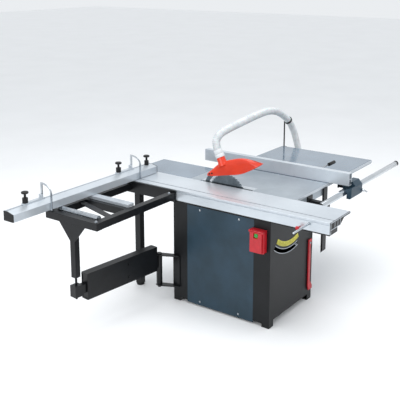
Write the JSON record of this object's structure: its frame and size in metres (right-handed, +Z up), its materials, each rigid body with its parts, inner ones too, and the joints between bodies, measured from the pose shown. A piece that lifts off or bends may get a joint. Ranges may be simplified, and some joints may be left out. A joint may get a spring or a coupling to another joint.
{
  "type": "panel saw",
  "caption": "Sliding table panel saw: cabinet, cast table, sliding carriage with outrigger and swing arm, crosscut and rip fences, guarded tilting blade.",
  "frame": {"origin": "on the floor under the middle of the cabinet", "axes": "+X from the sliding table across to the rip fence, +Y the feed direction, away from the operator, +Z up"},
  "size_m": [2.949, 1.822, 1.3091],
  "materials": {
    "cabinet_black": "powder-coated satin black",
    "panel_slate": "powder-coated slate blue",
    "frame_black": "semi-gloss black paint",
    "cast_iron": "ground and oiled",
    "sheet_slate": "glossy slate paint",
    "aluminium": "clear anodised extrusion",
    "bright_steel": "ground and chromed",
    "machined_steel": "machined",
    "blade_steel": "ground saw steel",
    "black_plastic": "moulded black",
    "red_plastic": "moulded red",
    "green_plastic": "moulded green",
    "orange_plastic": "moulded orange-red",
    "yellow_scale": "printed plate",
    "hose_white": "ribbed flexible hose",
    "belt_rubber": "moulded"
  },
  "bodies": {
    "frame": {"cabinet": "cabinet_black", "side_panel": "panel_slate", "cabinet_fittings": "bright_steel", "tilt_scale": "yellow_scale", "motor_cover": "cabinet_black", "dust_ports": "frame_black", "switch_box": "red_plastic", "push_stick": "red_plastic", "cast_table": "cast_iron", "table_insert": "aluminium", "side_table": "sheet_slate", "outfeed_table": "sheet_slate", "supports": "frame_black", "scale_strips": "aluminium", "rail": "bright_steel", "rail_brackets": "black_plastic", "beam": "aluminium", "hinge_bracket": "frame_black", "hose_stand": "bright_steel", "hose": "hose_white"},
    "switch_flap": {"switch_flap": "red_plastic"},
    "start_button": {"start_button": "green_plastic"},
    "stop_button": {"stop_button": "red_plastic"},
    "tilt_wheel": {"tilt_wheel": "black_plastic"},
    "saw_unit": {"carrier": "panel_slate", "riving_knife": "machined_steel", "hood": "orange_plastic"},
    "rise_shaft": {"rise_shaft": "machined_steel"},
    "rise_arm": {"arbor_arm": "panel_slate", "motor": "panel_slate", "belt": "belt_rubber"},
    "arbor": {"arbor": "machined_steel", "blade": "blade_steel"},
    "motor_rotor": {"motor_shaft": "machined_steel"},
    "carriage": {"carriage": "aluminium", "carriage_caps": "black_plastic", "push_handle": "bright_steel", "outrigger_frame": "frame_black", "rest_bar": "aluminium", "roller_axle": "machined_steel", "outrigger_leg": "frame_black", "fence_supports": "black_plastic"},
    "lock_knob": {"lock_knob": "red_plastic"},
    "roller": {"roller": "bright_steel"},
    "fence": {"crosscut_fence": "aluminium", "fence_caps": "black_plastic"},
    "pivot_knob": {"pivot_knob": "black_plastic"},
    "stop_1": {"stop_block_1": "aluminium"},
    "flag_1": {"stop_flag_1": "aluminium"},
    "knob_1": {"stop_knob_1": "black_plastic"},
    "stop_2": {"stop_block_2": "aluminium"},
    "flag_2": {"stop_flag_2": "aluminium"},
    "knob_2": {"stop_knob_2": "black_plastic"},
    "rip_fence": {"rip_head": "black_plastic", "rip_fence": "aluminium"},
    "rip_lever": {"rip_lever": "bright_steel", "rip_lever_grip": "black_plastic"},
    "rip_lock": {"rip_lock": "black_plastic"},
    "swing_arm": {"swing_arm": "frame_black"},
    "arm_bar": {"arm_bar": "frame_black"}
  },
  "joints": [
    {"name": "carriage_slide", "type": "slide", "parent": "frame", "child": "carriage", "axis": [0, 1, 0], "range_m": [-0.6, 0.6]},
    {"name": "fence_swing", "type": "hinge", "parent": "carriage", "child": "fence", "pos_m": [-0.128, 0.788, 0.9], "axis": [0, 0, 1], "range_deg": [0, 45]},
    {"name": "pivot_knob_turn", "type": "hinge", "parent": "fence", "child": "pivot_knob", "pos_m": [-0.128, 0.81, 0.96], "axis": [0, 0, 1], "range_deg": [0, 180]},
    {"name": "stop_1_slide", "type": "slide", "parent": "fence", "child": "stop_1", "axis": [1, 0, 0], "range_m": [-0.09, 0.35]},
    {"name": "stop_1_flip", "type": "hinge", "parent": "stop_1", "child": "flag_1", "pos_m": [-1.186, 0.823, 0.9543], "axis": [-1, 0, 0], "range_deg": [0, 80]},
    {"name": "stop_1_knob_turn", "type": "hinge", "parent": "stop_1", "child": "knob_1", "pos_m": [-1.33, 0.822, 0.98], "axis": [0, 0, 1], "range_deg": [0, 180]},
    {"name": "stop_2_slide", "type": "slide", "parent": "fence", "child": "stop_2", "axis": [1, 0, 0], "range_m": [-0.35, 0.12]},
    {"name": "stop_2_flip", "type": "hinge", "parent": "stop_2", "child": "flag_2", "pos_m": [-0.292, 0.823, 0.9543], "axis": [-1, 0, 0], "range_deg": [0, 80]},
    {"name": "stop_2_knob_turn", "type": "hinge", "parent": "stop_2", "child": "knob_2", "pos_m": [-0.436, 0.822, 0.98], "axis": [0, 0, 1], "range_deg": [0, 180]},
    {"name": "roller_spin", "type": "hinge", "parent": "carriage", "child": "roller", "pos_m": [-1.078, 0.591, 0.846], "axis": [0, 1, 0], "continuous": true},
    {"name": "lock_knob_turn", "type": "hinge", "parent": "carriage", "child": "lock_knob", "pos_m": [-0.35, -0.64, 0.8], "axis": [1, 0, 0], "range_deg": [0, 90]},
    {"name": "arm_swing", "type": "hinge", "parent": "frame", "child": "swing_arm", "pos_m": [-0.372, 0.496, 0.3], "axis": [0, 0, -1], "range_deg": [-38, 38]},
    {"name": "arm_extend", "type": "slide", "parent": "swing_arm", "child": "arm_bar", "axis": [-0.9938, 0.1114, 0], "range_m": [0, 0.245]},
    {"name": "rip_fence_slide", "type": "slide", "parent": "frame", "child": "rip_fence", "axis": [1, 0, 0], "range_m": [-0.36, 0.7]},
    {"name": "rip_lever_turn", "type": "hinge", "parent": "rip_fence", "child": "rip_lever", "pos_m": [0.524, -0.345, 0.94], "axis": [0, 0, 1], "range_deg": [0, 60]},
    {"name": "rip_lock_turn", "type": "hinge", "parent": "rip_fence", "child": "rip_lock", "pos_m": [0.6, -0.65, 0.812], "axis": [0, -1, 0], "range_deg": [0, 60]},
    {"name": "blade_tilt", "type": "hinge", "parent": "frame", "child": "saw_unit", "pos_m": [-0.03, 0, 0.865], "axis": [0, 1, 0], "range_deg": [0, 45]},
    {"name": "tilt_wheel_spin", "type": "hinge", "parent": "frame", "child": "tilt_wheel", "pos_m": [0.308, -0.3, 0.56], "axis": [1, 0, 0], "continuous": true},
    {"name": "rise_fall", "type": "hinge", "parent": "saw_unit", "child": "rise_arm", "pos_m": [0.05, -0.12, 0.7], "axis": [1, 0, 0], "range_deg": [-20, 0]},
    {"name": "rise_shaft_spin", "type": "hinge", "parent": "saw_unit", "child": "rise_shaft", "pos_m": [0.04651, -0.3, 0.50504], "axis": [0, 1, 0], "continuous": true},
    {"name": "arbor_spin", "type": "hinge", "parent": "rise_arm", "child": "arbor", "pos_m": [0.05, 0.126, 0.79], "axis": [1, 0, 0], "continuous": true},
    {"name": "motor_spin", "type": "hinge", "parent": "rise_arm", "child": "motor_rotor", "pos_m": [0.11, -0.04, 0.545], "axis": [1, 0, 0], "continuous": true},
    {"name": "switch_flap_turn", "type": "hinge", "parent": "frame", "child": "switch_flap", "pos_m": [-0.357, -0.325, 0.701], "axis": [0, 1, 0], "range_deg": [0, 100]},
    {"name": "start_press", "type": "slide", "parent": "frame", "child": "start_button", "axis": [1, 0, 0], "range_m": [0, 0.003], "stiffness_N_per_m": 400},
    {"name": "stop_press", "type": "slide", "parent": "frame", "child": "stop_button", "axis": [1, 0, 0], "range_m": [0, 0.003], "stiffness_N_per_m": 400}
  ],
  "couplings": [
    {"joint": "arm_swing", "follows": "carriage_slide", "rad_per_m": 1.09},
    {"joint": "tilt_wheel_spin", "follows": "blade_tilt", "ratio": 12},
    {"joint": "rise_shaft_spin", "follows": "rise_fall", "ratio": 18},
    {"joint": "motor_spin", "follows": "arbor_spin", "ratio": 0.76191}
  ]
}
